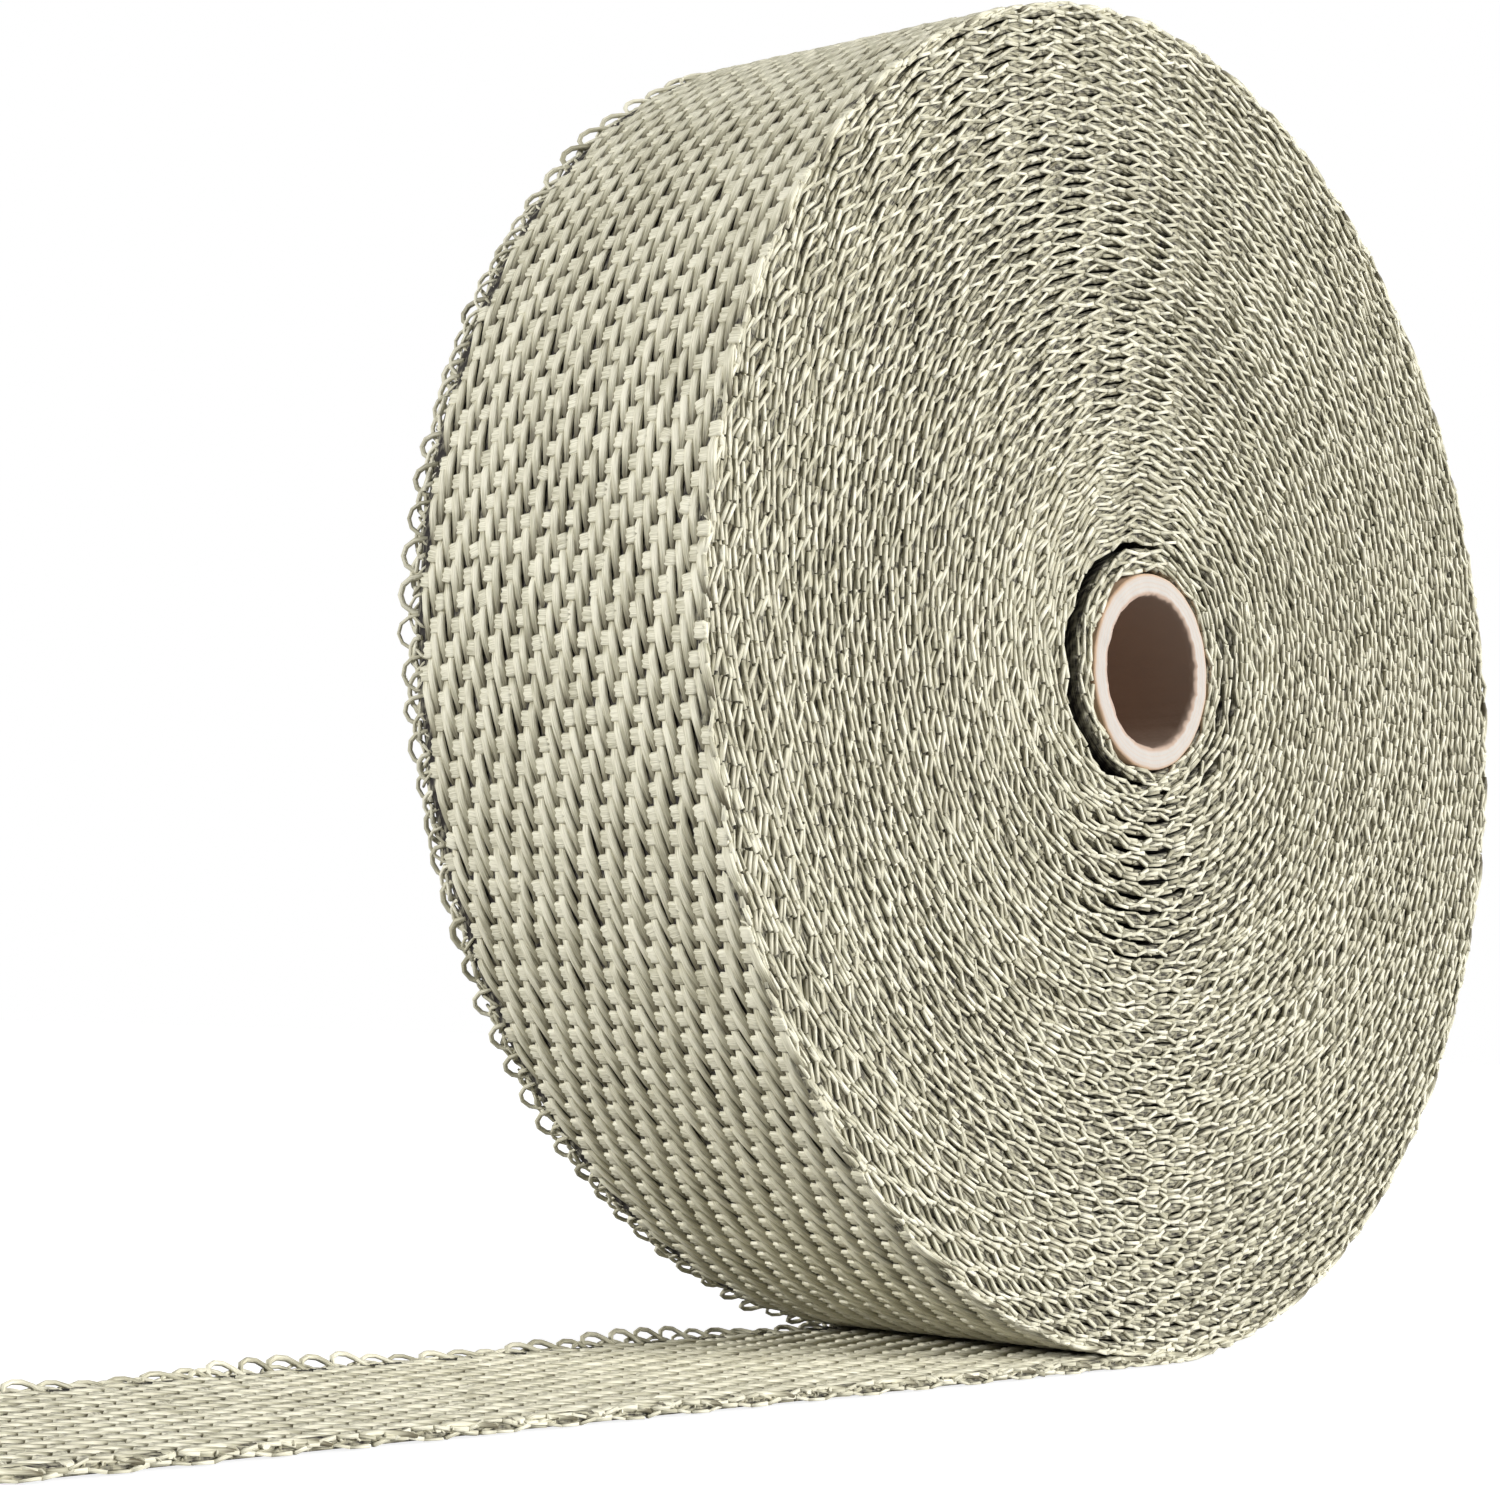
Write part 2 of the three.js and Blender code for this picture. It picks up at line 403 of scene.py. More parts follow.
def weft_floats(sizes, first, last, side, fullness, seed):
    """Crosswise yarns where they pass over two warps: short, puffed, ridged bundles."""
    rng = np.random.default_rng(seed)
    pick_pitch = sizes.pick_pitch / MM
    phase = 0 if side > 0 else 2
    pick, warp = crossings(sizes, math.ceil(first / pick_pitch), math.floor(last / pick_pitch), phase)
    count = len(pick)
    t = np.array([-1.0, -0.5, 0.6, 1.0])
    dive = np.array([0.12, 0.0, 0.06, 0.46])
    breadth = np.array([0.78, 1.0, 0.96, 0.56])
    depth = np.array([0.85, 1.0, 1.0, 0.55])
    # The shade row is painted shade, darkest at the steep end where the bundle dips into the weave.
    shade = np.array([0.02, 0.0, 0.04, 0.40])
    half_length = 0.90 + 0.05 * rng.standard_normal(count)
    middle_y = weave_places(sizes, warp + 0.42) + 0.06 * rng.standard_normal(count)
    middle_s = pick * pick_pitch + 0.12 * rng.standard_normal(count)
    lean = 0.10 * rng.standard_normal(count)
    s = middle_s[:, None] + lean[:, None] * t
    y = middle_y[:, None] + half_length[:, None] * t
    top = 0.52 + 0.05 * rng.standard_normal(count)
    n = side * (top[:, None] - dive)
    girth = fullness * (1.10 + 0.06 * rng.standard_normal(count))
    width = girth[:, None] * breadth
    height = (0.42 + 0.03 * rng.standard_normal(count))[:, None] * depth
    centres = np.stack([s, y, n], -1)
    rings = swept(centres, width, height, ridged_section(), np.array([0.0, 0.0, side]))
    tone = (0.90 + 0.07 * rng.standard_normal(count))[:, None] - shade
    return rings, tone[:, :, None]


def edge_of_tape(sizes, edge):
    """Middle of the tape to its near (-1) or far (+1) edge, without the loops, in millimetres."""
    return (sizes.near_edge if edge < 0 else sizes.far_edge) / MM


def edge_strands(line, sizes, edge, strand, seed):
    """The threads that show on one end of the roll.

    They are straight pieces from pick to pick, and rise and fall over four picks.
    """
    rng = np.random.default_rng(seed)
    bare = 1.0
    piece = TAU * line.pitch / TWILL
    picks = np.arange(int((line.end - bare) / piece))
    start = line.end_of_roll - line.end_of_roll // piece * piece
    s0 = start + picks * piece + bare + np.cumsum(0.05 * rng.standard_normal(len(picks)))
    count = len(picks)
    drift = np.cumsum(rng.standard_normal(count + 1)) * 0.02
    wave = np.array([-1.0, -1.0, 1.0, 1.0])
    at_pick = (np.arange(count + 1) + strand["shift"]) % TWILL
    loose = np.append(s0, s0[-1]) < line.outer_turn
    swing = strand["swing"] * np.where(loose, 1.0, 0.6) * (1 + 0.15 * rng.standard_normal(count + 1))
    level = strand["level"] + swing * wave[at_pick] + 0.07 * rng.standard_normal(count + 1)
    reach = edge_of_tape(sizes, edge) + strand["lift"]
    dive = np.array([0.14, -0.22, 0.14, -0.22])[at_pick]
    depth = edge * (reach + dive + 0.08 * rng.standard_normal(count + 1) + 0.12 * np.sin(drift))
    t = np.array([-0.93, 0.93])
    share = (t + 1) / 2
    s = s0[:, None] + piece * share + 0.13 * rng.standard_normal(count)[:, None]
    n = level[:-1, None] * (1 - share) + level[1:, None] * share + 0.04 * rng.standard_normal(count)[:, None]
    y = depth[:-1, None] * (1 - share) + depth[1:, None] * share
    half = sizes.strand_thickness / MM / 2
    width = half * (1 + 0.14 * rng.standard_normal(count))[:, None] * np.array([1.0, 0.85])
    height = 1.1 * width
    centres = np.stack([s, y, n], -1)
    rings = swept(centres, width, height, oval_section(4, 0.5), np.array([0.0, edge, 0.0]))
    # Each piece is painted darker towards its further end: painted shade.
    tone = strand["tone"] + 0.13 * rng.standard_normal(count)[:, None] - np.array([0.0, 0.22])
    return rings, tone[:, :, None]


def selvedge_loops(sizes, edge, first, last, loop, seed):
    """Loops of weft along an edge.

    The loop says how far apart they are, how far they stand out and up, and how thick and light they are.
    """
    rng = np.random.default_rng(seed)
    pitch = loop["pitch"] / MM
    places = np.arange(math.ceil(first / pitch), math.floor(last / pitch)) + loop["shift"]
    count = len(places)
    t = np.linspace(-1, 1, 7)
    bend = math.pi / 2 * t
    inset = 0.9
    root = edge_of_tape(sizes, edge) - inset
    reach = root + inset + loop["out"] * (1 + 0.12 * rng.standard_normal(count))
    lift = loop["up"] * (1 + 0.4 * np.sin(np.cumsum(rng.uniform(0.1, 0.9, count))))
    half = pitch * (0.47 + 0.04 * rng.standard_normal(count))
    s = places[:, None] * pitch + half[:, None] * np.sin(bend) + 0.15 * rng.standard_normal(count)[:, None]
    y = edge * (root + (reach - root)[:, None] * np.cos(bend) ** 0.8)
    n = lift[:, None] * np.cos(bend) + 0.36 * t + 0.12 * rng.standard_normal(count)[:, None]
    width = loop["thick"] * (1 + 0.12 * rng.standard_normal(count))[:, None] * np.ones_like(t)
    centres = np.stack([s, y, n], -1)
    rings = swept(centres, width, width, oval_section(5), np.array([0.0, 0.0, 1.0]))
    # Each loop is painted darker towards its roots in the tape: painted shade.
    tone = (loop["tone"] + 0.12 * rng.standard_normal(count))[:, None] - 0.2 * t**2
    return rings, tone[:, :, None]


def selvedge_threads(sizes, edge, first, last, side, half_length, seed):
    """Short threads that cross the selvedge: three leaning one way, three the other, over each four picks."""
    rng = np.random.default_rng(seed)
    step = sizes.pick_pitch / MM * TWILL / 6
    places = np.arange(math.ceil(first / step), math.floor(last / step))
    count = len(places)
    lean = np.where(places % 6 < 3, 1.0, -1.0)
    t = np.array([-1.0, -0.5, 0.5, 1.0])
    middle = edge_of_tape(sizes, edge) + 0.15 * rng.standard_normal(count)
    slant = (0.8 * half_length * lean)[:, None] * t
    s = (places * step)[:, None] + slant + 0.12 * rng.standard_normal(count)[:, None]
    y = edge * (middle[:, None] + half_length * t)
    n = side * (0.50 - 0.40 * t**2 + 0.10 * rng.standard_normal(count)[:, None])
    width = (0.13 + 0.08 * half_length) * (1 + 0.14 * rng.standard_normal(count))[:, None] * (1 - 0.25 * t**2)
    centres = np.stack([s, y, n], -1)
    rings = swept(centres, width, width, oval_section(5), np.array([0.0, 0.0, 1.0]))
    # Each thread is painted darker towards its ends, where it dips into the tape: painted shade.
    tone = (0.78 + 0.14 * rng.standard_normal(count))[:, None] - 0.2 * t**2
    return rings, tone[:, :, None]


def ribbon_rings(line, sizes):
    """The tape under its raised yarns: one ribbon from the core to the free end."""
    thin, thick = sizes.ribbon_thickness / MM / 2, sizes.ribbon_edge / MM / 2
    along = np.concatenate([
        line.s[: -FREE_END_SAMPLES : SAMPLES_PER_TURN // 50],
        np.linspace(line.end_of_roll, line.end, 50),
    ])
    edge = np.array([(-2.2, thin), (-0.6, thick), (0.0, 0.7 * thick)])
    far = edge + (sizes.far_edge / MM, 0)
    near = edge + (sizes.near_edge / MM, 0)
    rim = np.concatenate([far, far[::-1] * (1, -1), near * (-1, -1), near[::-1] * (-1, 1)])
    flat = np.empty((1, len(along), len(rim), 3))
    flat[0, :, :, 0] = along[:, None]
    flat[0, :, :, 1] = rim[:, 0]
    flat[0, :, :, 2] = rim[:, 1]
    return flat


# Materials


def new_material(name):
    """A material with only its output and a Principled shader."""
    material = bpy.data.materials.new(name)
    material.use_nodes = True
    tree = material.node_tree
    return material, tree, tree.nodes["Principled BSDF"]


def linked(tree, kind, links=(), **values):
    """Adds a node, sets its values, and links or sets its inputs from (input, socket or value) pairs."""
    node = tree.nodes.new(kind)
    for key, value in values.items():
        setattr(node, key, value)
    for name, source in links:
        if isinstance(source, bpy.types.NodeSocket):
            tree.links.new(source, node.inputs[name])
        else:
            node.inputs[name].default_value = source
    return node


def maths(tree, operation, *values):
    """One step of arithmetic on numbers or sockets; returns the result's socket."""
    return linked(tree, "ShaderNodeMath", enumerate(values), operation=operation).outputs[0]


def noise(tree, place, scale, detail):
    """Noise at a place; returns its value's socket."""
    links = [("Vector", place), ("Scale", scale), ("Detail", detail)]
    return linked(tree, "ShaderNodeTexNoise", links).outputs["Fac"]


def bumped(tree, height, amount, distance):
    """The normal of a surface with this height as fine relief; returns its socket."""
    links = [("Height", height), ("Strength", amount), ("Distance", distance)]
    return linked(tree, "ShaderNodeBump", links).outputs["Normal"]


def map_range(tree, value, from_min, from_max, to_min=0.0, to_max=1.0):
    """Maps a value from one range to another and holds it at the ends; returns the result's socket."""
    links = [("Value", value), ("From Min", from_min), ("From Max", from_max)]
    return linked(tree, "ShaderNodeMapRange", [*links, ("To Min", to_min), ("To Max", to_max)]).outputs[0]


def colour_mix(tree, factor, low, high):
    """Mixes two colours, which can be sockets; returns the result's socket."""
    first_colour, second_colour, mixed_colour = 6, 7, 2
    links = [("Factor", factor), (first_colour, low), (second_colour, high)]
    return linked(tree, "ShaderNodeMix", links, data_type="RGBA").outputs[mixed_colour]


def group_tree(name, inputs, outputs):
    """A new shader node group with its sockets; returns the tree, its input node and its output node."""
    tree = bpy.data.node_groups.new(name, "ShaderNodeTree")
    for socket, kind, default in inputs:
        made = tree.interface.new_socket(socket, in_out="INPUT", socket_type=kind)
        if default is not None:
            made.default_value = default
    for socket, kind in outputs:
        tree.interface.new_socket(socket, in_out="OUTPUT", socket_type=kind)
    return tree, tree.nodes.new("NodeGroupInput"), tree.nodes.new("NodeGroupOutput")


def glass_yarn_group():
    """Fine lengthwise filaments and uneven colour for glass yarn, with painted shade and painted highlight
    mixed in by tone.
    """
    tree, source, sink = group_tree(
        "Glass yarn",
        [
            ("Along and across", "NodeSocketVector", None),
            ("Place", "NodeSocketVector", None),
            ("Tone", "NodeSocketFloat", 0.8),
            ("Bright", "NodeSocketColor", (0.8, 0.75, 0.6, 1)),
            ("Body", "NodeSocketColor", (0.5, 0.47, 0.35, 1)),
            ("Shade", "NodeSocketColor", (0.1, 0.09, 0.06, 1)),
            ("Filaments per mm", "NodeSocketFloat", 7.0),
        ],
        [("Colour", "NodeSocketColor"), ("Height", "NodeSocketFloat")],
    )
    across = linked(
        tree, "ShaderNodeCombineXYZ",
        [("X", source.outputs["Filaments per mm"]), ("Y", 0.35), ("Z", 1.0)],
    )
    stretched = linked(
        tree, "ShaderNodeVectorMath",
        [(0, source.outputs["Along and across"]), (1, across.outputs[0])], operation="MULTIPLY",
    )
    filaments = noise(tree, stretched.outputs[0], 1.0, 2.0)
    dust = noise(tree, source.outputs["Place"], 90.0, 3.0)
    fine = map_range(tree, filaments, 0.32, 0.68, -0.22, 0.22)
    broad = map_range(tree, dust, 0.3, 0.7, -0.07, 0.05)
    summed = maths(tree, "ADD", maths(tree, "ADD", source.outputs["Tone"], fine), broad)
    # Low tone mixes towards the shaded yarn colour and high tone towards the bright one: painted shade and
    # painted highlight.
    low = map_range(tree, summed, 0.10, 0.66)
    high = map_range(tree, summed, 0.62, 1.05)
    mixed = colour_mix(tree, low, source.outputs["Shade"], source.outputs["Body"])
    lit = colour_mix(tree, high, mixed, source.outputs["Bright"])
    tree.links.new(lit, sink.inputs["Colour"])
    tree.links.new(filaments, sink.inputs["Height"])
    return tree


def rgba(value):
    """A property's colour with full alpha."""
    return (*value, 1.0)


def yarn_material(name, colours, group, filaments, roughness):
    """Glass yarn: the shared filament effect, coloured by each strand's own tone, in which shade and
    highlight are painted.
    """
    material, tree, shader = new_material(name)
    strand_uv = linked(tree, "ShaderNodeUVMap", uv_map="fibre_lines")
    place = linked(tree, "ShaderNodeTexCoord")
    tone = linked(tree, "ShaderNodeAttribute", attribute_name="yarn_tone")
    yarn = linked(tree, "ShaderNodeGroup", [
        ("Along and across", strand_uv.outputs["UV"]), ("Place", place.outputs["Object"]),
        ("Tone", tone.outputs["Fac"]), ("Bright", rgba(colours.bright)), ("Body", rgba(colours.body)),
        ("Shade", rgba(colours.shade)), ("Filaments per mm", filaments),
    ], node_tree=group)
    tree.links.new(yarn.outputs["Colour"], shader.inputs["Base Color"])
    tree.links.new(bumped(tree, yarn.outputs["Height"], 0.7, 0.00012), shader.inputs["Normal"])
    shader.inputs["Roughness"].default_value = roughness
    shader.inputs["Specular IOR Level"].default_value = 0.35
    return material


def ribbon_material(sizes, colours, group):
    """The tape between its raised yarns: dark as painted shade, with the twill's diagonal relief."""
    material, tree, shader = new_material("shaded_weave")
    strand_uv = linked(tree, "ShaderNodeUVMap", uv_map="fibre_lines")
    place = linked(tree, "ShaderNodeTexCoord")
    twill = linked(
        tree, "ShaderNodeTexWave",
        [("Vector", strand_uv.outputs["UV"]), ("Scale", 0.32), ("Distortion", 0.6)],
        wave_type="BANDS", bands_direction="DIAGONAL",
    ).outputs["Fac"]
    # This dark tone, with the gap colour as its low end, is painted shade between the raised yarns; the wefts
    # lighten it towards the edges.
    tone = map_range(tree, twill, 0.2, 0.9, 0.02, 0.20)
    apart = linked(tree, "ShaderNodeSeparateXYZ", [("Vector", place.outputs["Object"])])
    from_middle = maths(tree, "ABSOLUTE", apart.outputs["Y"])
    far, near = sizes.far_edge - WEFTS_SHOW, sizes.near_edge - WEFTS_SHOW
    at_edge = map_range(tree, from_middle, far, near, 0.0, 0.46)
    turned = linked(
        tree, "ShaderNodeVectorMath",
        [(0, strand_uv.outputs["UV"]), (1, (0.4, 2.6, 1.0))], operation="MULTIPLY",
    )
    wefts = noise(tree, turned.outputs[0], 1.0, 3.0)
    tones = maths(tree, "ADD", tone, maths(tree, "MULTIPLY", at_edge, wefts))
    yarn = linked(tree, "ShaderNodeGroup", [
        ("Along and across", strand_uv.outputs["UV"]), ("Place", place.outputs["Object"]),
        ("Tone", tones), ("Bright", rgba(colours.bright)), ("Body", rgba(colours.body)),
        ("Shade", rgba(colours.gap)), ("Filaments per mm", 5.0),
    ], node_tree=group)
    tree.links.new(yarn.outputs["Colour"], shader.inputs["Base Color"])
    tree.links.new(bumped(tree, maths(tree, "ADD", twill, wefts), 0.6, 0.0003), shader.inputs["Normal"])
    shader.inputs["Roughness"].default_value = 0.85
    return material


def board_material(colours, centre, inner, outer):
    """Wound paper board: plies on the cut ends, a worn outer edge and a brown bore."""
    material, tree, shader = new_material("paper_board")
    place = linked(tree, "ShaderNodeTexCoord")
    from_axis = linked(
        tree, "ShaderNodeVectorMath", [(0, place.outputs["Object"]), (1, centre)], operation="SUBTRACT"
    )
    flat = linked(
        tree, "ShaderNodeVectorMath", [(0, from_axis.outputs[0]), (1, (1, 0, 1))], operation="MULTIPLY"
    )
    radius = linked(tree, "ShaderNodeVectorMath", [(0, flat.outputs[0])], operation="LENGTH")
    rough = noise(tree, place.outputs["Object"], 700.0, 4.0)
    torn = maths(tree, "ADD", radius.outputs["Value"], maths(tree, "MULTIPLY_ADD", rough, 0.0004, -0.0002))
    ply_pitch = 0.00055
    ply = maths(tree, "SINE", maths(tree, "MULTIPLY", torn, TAU / ply_pitch))
    darker = map_range(tree, ply, 0.2, 1.0, 0.0, 0.28)
    face = colour_mix(tree, darker, rgba(colours.board), rgba(colours.board_edge))
    rim = map_range(tree, torn, outer - 0.0006, outer - 0.0001)
    rimmed = colour_mix(tree, rim, face, rgba(colours.board_edge))
    bore = map_range(tree, torn, inner + 0.0006, inner + 0.0004)
    lined = colour_mix(tree, bore, rimmed, rgba(colours.bore))
    tree.links.new(lined, shader.inputs["Base Color"])
    tree.links.new(bumped(tree, rough, 0.5, 0.0002), shader.inputs["Normal"])
    shader.inputs["Roughness"].default_value = 0.9
    return material


def shared(name, make):
    """The material or node group of that name, made on first use."""
    found = bpy.data.materials.get(name) or bpy.data.node_groups.get(name)
    return found or make()


def glass_yarn():
    """The shared glass yarn group."""
    return shared("Glass yarn", glass_yarn_group)


def raised_yarn():
    """The material of the yarns that show on the tape's faces."""
    colours = bpy.context.scene.heat_wrap_colours
    return shared("glass_yarn", lambda: yarn_material("glass_yarn", colours, glass_yarn(), 7.0, 0.55))


def edge_thread():
    """The material of the thin bright threads on the roll's ends."""
    colours = bpy.context.scene.heat_wrap_colours
    return shared("glass_thread", lambda: yarn_material("glass_thread", colours, glass_yarn(), 12.0, 0.5))


# Core


def core_rings(centre, half_length, inner, outer, seed):
    """The paper core as one closed ring of rings: outside, cut ends with a soft burr, and bore."""
    rng = np.random.default_rng(seed)
    around = 120
    angle = np.arange(around) * TAU / around
    wave = sum(
        rng.uniform(0.02, 0.06) * np.sin(k * angle + rng.uniform(0, TAU)) for k in (2, 3, 5, 8, 13, 21)
    )
    burr = np.clip(rng.standard_normal(around), -1.5, 1.5) * 0.10
    # Each row: radius, place along the axis, and whether the ring is smooth (0), wavy (1) or burred (2).
    far_end = [
        (outer, half_length - 0.35, 0), (outer - 0.12, half_length - 0.08, 1),
        (outer - 0.4, half_length, 1), (outer - 1.1, half_length + 0.05, 1),
        (inner + 0.9, half_length - 0.05, 1), (inner + 0.3, half_length + 0.10, 2),
        (inner, half_length - 0.25, 2), (inner, half_length - 1.2, 0),
    ]
    profile = far_end + [(radius, -y, rough) for radius, y, rough in reversed(far_end)]
    rings = np.empty((around, len(profile), 3))
    for k, (radius, y, rough) in enumerate(profile):
        distance = radius + (burr if rough == 2 else 0.0)
        rings[:, k, 0] = centre[0] + distance * np.cos(angle)
        rings[:, k, 1] = y + (wave * rough / 2 + burr * (rough == 2)) * np.sign(y)
        rings[:, k, 2] = centre[1] + distance * np.sin(angle)
    return rings


def ring_mesh(name, rings):
    """A closed mesh from sections that meet end to end round an axis."""
    around, corners = rings.shape[:2]
    index = np.arange(around * corners).reshape(around, corners)
    after, beside = np.roll(index, -1, axis=0), np.roll(index, -1, axis=1)
    quads = np.stack([index, beside, np.roll(beside, -1, axis=0), after], -1).reshape(-1, 4)
    points = rings.reshape(-1, 3)
    if signed_volume(points - points.mean(0), quads) < 0:
        quads = quads[:, ::-1]
    mesh = bpy.data.meshes.new(name)
    mesh.from_pydata((points * MM).tolist(), [], quads.tolist())
    mesh.polygons.foreach_set("use_smooth", np.ones(len(quads), bool))
    mesh.validate()
    return mesh


# Operators


class HEATWRAP_OT_wound_tape(bpy.types.Operator):
    """Winds the tape's ribbon from the core to its free end"""

    bl_idname = "heat_wrap.wound_tape"
    bl_label = "Wound Tape"

    def execute(self, context):
        sizes = context.scene.heat_wrap_sizes
        line = TapeLine(sizes)
        mesh = strands_mesh("wound_tape", ribbon_rings(line, sizes), line, 0.3)
        material = ribbon_material(sizes, context.scene.heat_wrap_colours, glass_yarn())
        tape_piece("wound_tape", mesh, material)
        return {"FINISHED"}


class HEATWRAP_OT_raised_yarns(bpy.types.Operator):
    """Lays the warp and weft yarns on the last turn and on the free end"""

    bl_idname = "heat_wrap.raised_yarns"
    bl_label = "Raised Yarns"

    def execute(self, context):
        sizes = context.scene.heat_wrap_sizes
        line = TapeLine(sizes)
        spans = {
            "outer_turn": (line.outer_turn - 12, line.end_of_roll + 4, 1, (0.94, 1.0), 11),
            "free_end": (line.end_of_roll - 25, line.end + 7, -1, (0.72, 0.56), 12),
        }
        for place, (first, last, side, fill, seed) in spans.items():
            for kind, yarns, fullness in (("warp", warp_floats, fill[0]), ("weft", weft_floats, fill[1])):
                rings, tone = yarns(sizes, first, last, side, fullness, seed)
                name = f"{place}_{kind}_yarns"
                tape_piece(name, strands_mesh(name, rings, line, tone), raised_yarn())
                seed += 100
        return {"FINISHED"}


class HEATWRAP_OT_roll_ends(bpy.types.Operator):
    """Lays the threads that show on the two ends of the roll, turn by turn"""

    bl_idname = "heat_wrap.roll_ends"
    bl_label = "Roll Ends"

    def execute(self, context):
        sizes = context.scene.heat_wrap_sizes
        line = TapeLine(sizes)
        # The inner threads sit furthest in, and their low tone is painted shade.
        upper = {"shift": 0, "level": 0.36, "swing": 0.40, "lift": 0.42, "tone": 0.98}
        lower = {"shift": 1, "level": -0.36, "swing": 0.40, "lift": 0.28, "tone": 0.92}
        inner = {"shift": 2, "level": 0.05, "swing": 0.46, "lift": 0.02, "tone": 0.60}
        made = {
            "near_upper_threads": (-1, upper, 21), "near_lower_threads": (-1, lower, 22),
            "near_inner_threads": (-1, inner, 23),
            "far_upper_threads": (1, upper, 24), "far_lower_threads": (1, lower, 25),
        }
        for name, (edge, strand, seed) in made.items():
            rings, tone = edge_strands(line, sizes, edge, strand, seed)
            tape_piece(name, strands_mesh(name, rings, line, tone), edge_thread())
        return {"FINISHED"}


class HEATWRAP_OT_selvedges(bpy.types.Operator):
    """Adds the loops and crossing threads along both edges of the last turn and the free end"""

    bl_idname = "heat_wrap.selvedges"
    bl_label = "Selvedges"

    def execute(self, context):
        sizes = context.scene.heat_wrap_sizes
        line = TapeLine(sizes)
        turn = (line.outer_turn - 8, line.end_of_roll + 4, 1)
        end = (line.end_of_roll - 25, line.end, -1)
        made = {}
        near = {"pitch": sizes.pick_pitch, "shift": 0.0}
        far = {"pitch": sizes.loop_pitch, "shift": 0.0}
        low = near | {"out": 0.40, "up": 0.3, "thick": 0.20, "tone": 0.85}
        tall = far | {"out": 2.0, "up": 1.0, "thick": 0.33, "tone": 0.78}
        inner = far | {"out": 1.3, "up": 0.6, "thick": 0.28, "tone": 0.92, "shift": 0.5}
        for name, edge, span, loop, seed in (
            ("near_loops", -1, turn, low, 31), ("far_turn_loops", 1, turn, tall, 32),
            ("far_turn_inner_loops", 1, turn, inner, 33),
            ("far_end_loops", 1, end, tall | {"up": -1.5}, 34),
            ("far_end_inner_loops", 1, end, inner | {"up": -0.8}, 35),
        ):
            made[name] = selvedge_loops(sizes, edge, span[0], span[1], loop, seed)
        for name, edge, span, half_length, seed in (
            ("far_turn_selvedge", 1, turn, 1.3, 42), ("far_end_selvedge", 1, end, 1.3, 43),
            ("near_end_selvedge", -1, end, 0.55, 44),
        ):
            made[name] = selvedge_threads(sizes, edge, *span, half_length, seed)
        for name, (rings, tone) in made.items():
            tape_piece(name, strands_mesh(name, rings, line, tone), edge_thread())
        return {"FINISHED"}


class HEATWRAP_OT_core(bpy.types.Operator):
    """Makes the paper core that the tape is wound on"""

    bl_idname = "heat_wrap.core"
    bl_label = "Paper Core"

    def execute(self, context):
        low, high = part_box("core_tube")
        centre = (low + high) / 2
        outer = (high.x - low.x) / 2
        inner = context.scene.heat_wrap_sizes.core_bore
        rings = core_rings(
            (centre.x / MM, centre.z / MM), (high.y - low.y) / 2 / MM, inner / MM, outer / MM, 41
        )
        material = board_material(context.scene.heat_wrap_colours, tuple(centre), inner, outer)
        tape_piece("paper_core", ring_mesh("paper_core", rings), material, "core_tube")
        return {"FINISHED"}


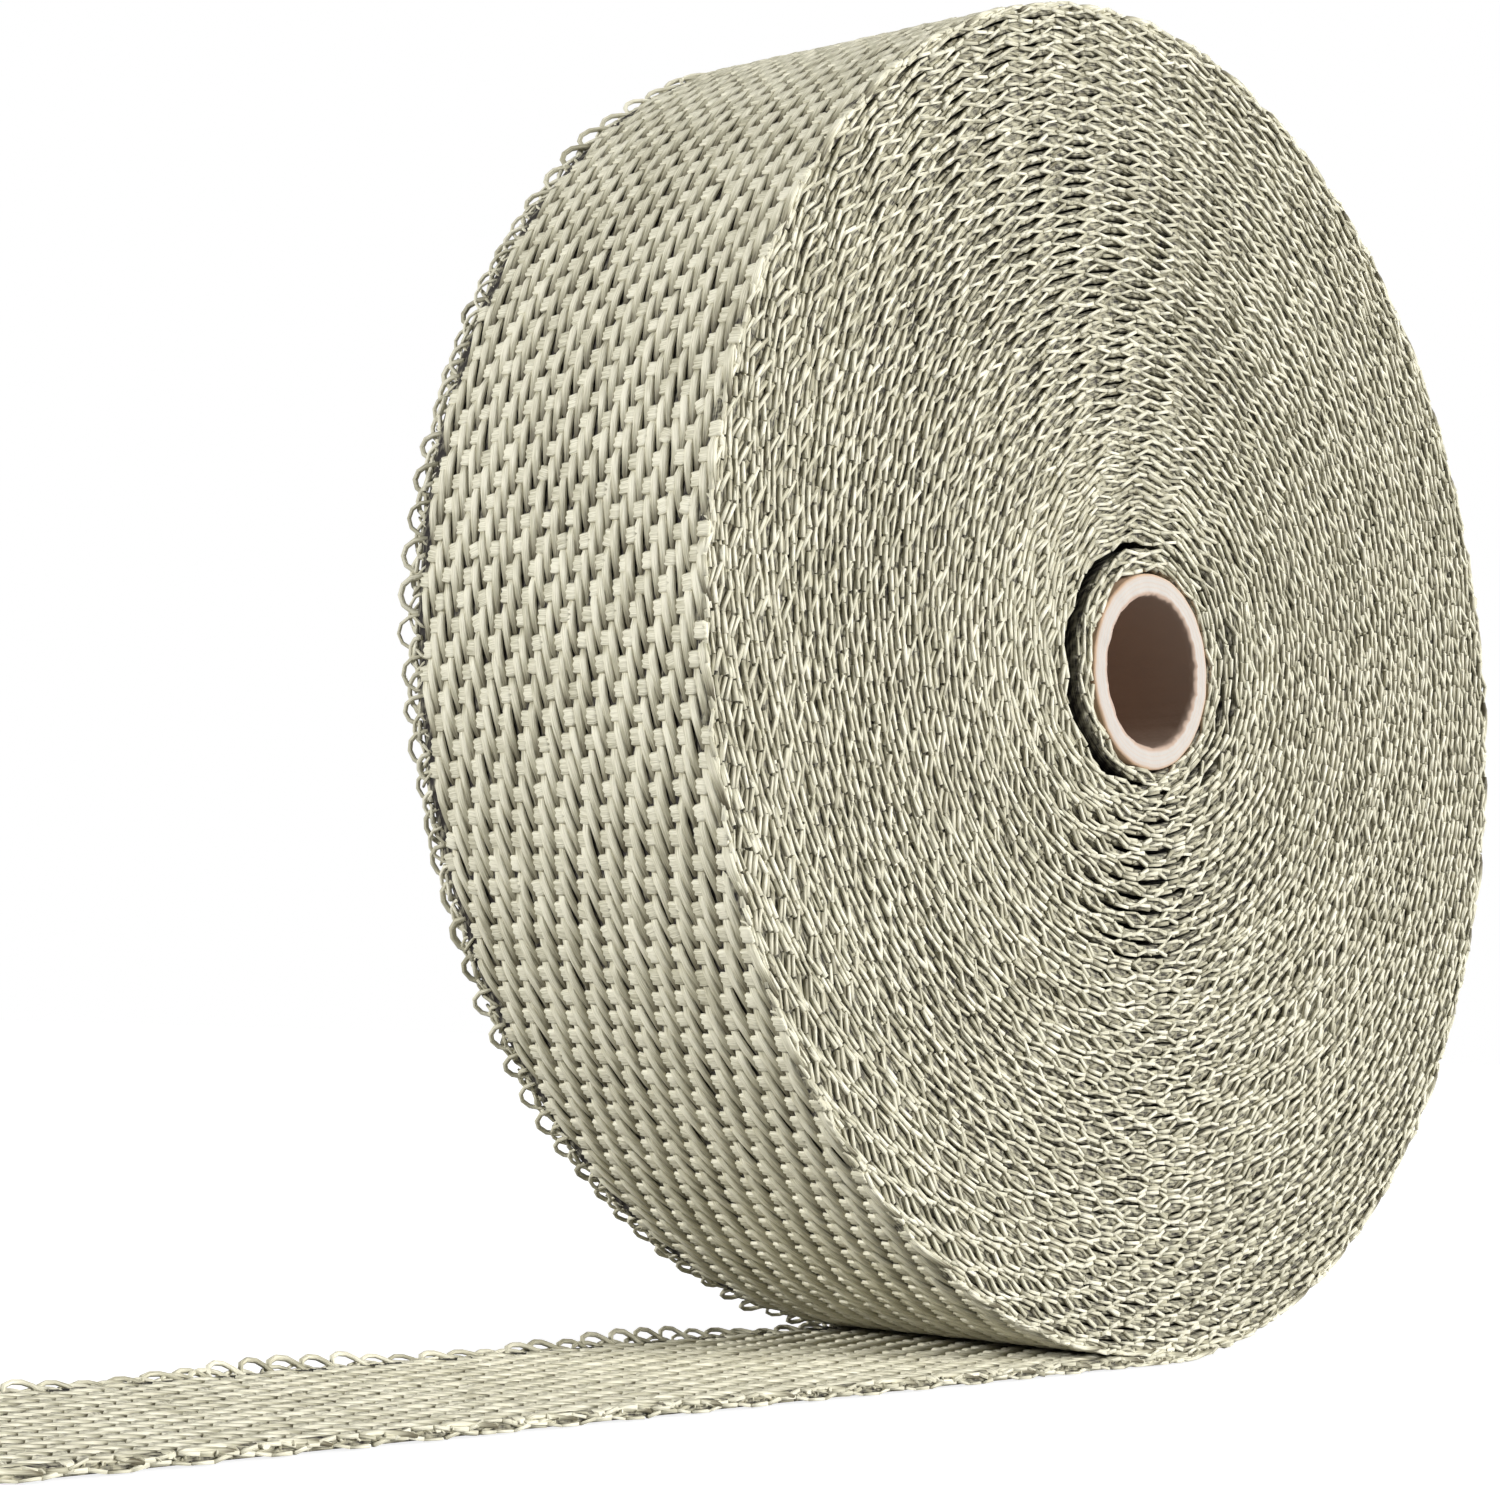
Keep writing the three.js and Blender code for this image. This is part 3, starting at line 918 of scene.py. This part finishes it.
class HEATWRAP_OT_stage(bpy.types.Operator):
    """Sets the floor, the soft light and the photograph's camera"""

    bl_idname = "heat_wrap.stage"
    bl_label = "Stage"

    def execute(self, context):
        look = context.scene.heat_wrap_stage
        floor_mesh = bpy.data.meshes.new("floor")
        rim = np.zeros((FLOOR_CORNERS, 3))
        rim[:, :2] = FLOOR_RADIUS * oval_section(FLOOR_CORNERS)
        floor_mesh.from_pydata(rim.tolist(), [], [list(range(FLOOR_CORNERS))])
        material, tree, shader = new_material("pale_floor")
        shader.inputs["Base Color"].default_value = rgba(look.floor)
        shader.inputs["Roughness"].default_value = 0.9
        shader.inputs["Emission Color"].default_value = (1, 1, 1, 1)
        rays = linked(tree, "ShaderNodeLightPath")
        lift = maths(tree, "MULTIPLY", rays.outputs["Is Camera Ray"], look.floor_lift)
        tree.links.new(lift, shader.inputs["Emission Strength"])
        floor_mesh.materials.append(material)
        floor = bpy.data.objects.new("floor", floor_mesh)
        floor.location.z = FLOOR_HEIGHT
        context.collection.objects.link(floor)
        self.light("key", look.key, KEY_PLACE, KEY_ANGLE_DEG)
        self.light("fill", look.fill, FILL_PLACE, FILL_ANGLE_DEG)
        context.scene.world = self.surround(look.sky)
        context.scene.view_settings.view_transform = "Standard"
        self.camera(context)
        return {"FINISHED"}

    def surround(self, dimmed):
        """White all round, but dimmer as light than it looks."""
        world = bpy.data.worlds.new("white_surround")
        world.use_nodes = True
        tree = world.node_tree
        rays = linked(tree, "ShaderNodeLightPath")
        shown = map_range(tree, rays.outputs["Is Camera Ray"], 0.0, 1.0, dimmed)
        background = tree.nodes["Background"]
        background.inputs["Color"].default_value = (1, 1, 1, 1)
        tree.links.new(shown, background.inputs["Strength"])
        return world

    def light(self, name, energy, place, spread_deg):
        """A soft, even light from the direction of a place."""
        data = bpy.data.lights.new(name, "SUN")
        data.energy, data.angle = energy, math.radians(spread_deg)
        lamp = bpy.data.objects.new(name, data)
        lamp.location = place
        lamp.rotation_euler = (-lamp.location).to_track_quat("-Z", "Y").to_euler()
        bpy.context.collection.objects.link(lamp)

    def camera(self, context):
        """The camera as fitted to the photograph."""
        yaw, pitch, roll = (math.radians(a) for a in (CAMERA_YAW_DEG, CAMERA_PITCH_DEG, CAMERA_ROLL_DEG))
        forward = Vector((math.sin(yaw) * math.cos(pitch), math.cos(yaw) * math.cos(pitch), math.sin(pitch)))
        right = Vector((math.cos(yaw), -math.sin(yaw), 0))
        up = right.cross(forward)
        side = right * math.cos(roll) + up * math.sin(roll)
        top = -right * math.sin(roll) + up * math.cos(roll)
        data = bpy.data.cameras.new("photo_camera")
        data.sensor_width = SENSOR_WIDTH_MM
        data.lens = FOCAL_LENGTH_PX / PHOTO_WIDTH_PX * SENSOR_WIDTH_MM
        data.clip_start, data.clip_end = 0.01, 20
        camera = bpy.data.objects.new("photo_camera", data)
        turn = Matrix((side, top, -forward)).transposed().to_4x4()
        camera.matrix_world = Matrix.Translation(CAMERA_PLACE) @ turn
        context.collection.objects.link(camera)
        context.scene.camera = camera


OPERATORS = (
    HEATWRAP_OT_wound_tape,
    HEATWRAP_OT_raised_yarns,
    HEATWRAP_OT_roll_ends,
    HEATWRAP_OT_selvedges,
    HEATWRAP_OT_core,
    HEATWRAP_OT_stage,
)


class HEATWRAP_PT_panel(bpy.types.Panel):
    """Buttons and settings for the heat wrap roll"""

    bl_idname = "HEATWRAP_PT_panel"
    bl_label = "Heat Wrap"
    bl_space_type = "VIEW_3D"
    bl_region_type = "UI"
    bl_category = "Heat Wrap"

    def draw(self, context):
        layout = self.layout
        for operator in OPERATORS:
            layout.operator(operator.bl_idname)
        for group in (
            context.scene.heat_wrap_sizes,
            context.scene.heat_wrap_colours,
            context.scene.heat_wrap_stage,
        ):
            column = layout.column()
            for name in group.__annotations__:
                column.prop(group, name)


GROUPS = {
    "heat_wrap_sizes": HeatWrapSizes,
    "heat_wrap_colours": HeatWrapColours,
    "heat_wrap_stage": HeatWrapStage,
}


def register():
    """Registers the classes and hangs the settings on the scene."""
    for made in (*GROUPS.values(), *OPERATORS, HEATWRAP_PT_panel):
        bpy.utils.register_class(made)
    for name, group in GROUPS.items():
        setattr(bpy.types.Scene, name, PointerProperty(type=group))


def unregister():
    """Removes the settings and the classes."""
    for name in GROUPS:
        delattr(bpy.types.Scene, name)
    for made in reversed((*GROUPS.values(), *OPERATORS, HEATWRAP_PT_panel)):
        bpy.utils.unregister_class(made)


def main():
    """Builds every piece and the stage."""
    register()
    bpy.ops.heat_wrap.wound_tape()
    bpy.ops.heat_wrap.raised_yarns()
    bpy.ops.heat_wrap.roll_ends()
    bpy.ops.heat_wrap.selvedges()
    bpy.ops.heat_wrap.core()
    bpy.ops.heat_wrap.stage()


if __name__ == "__main__":
    main()
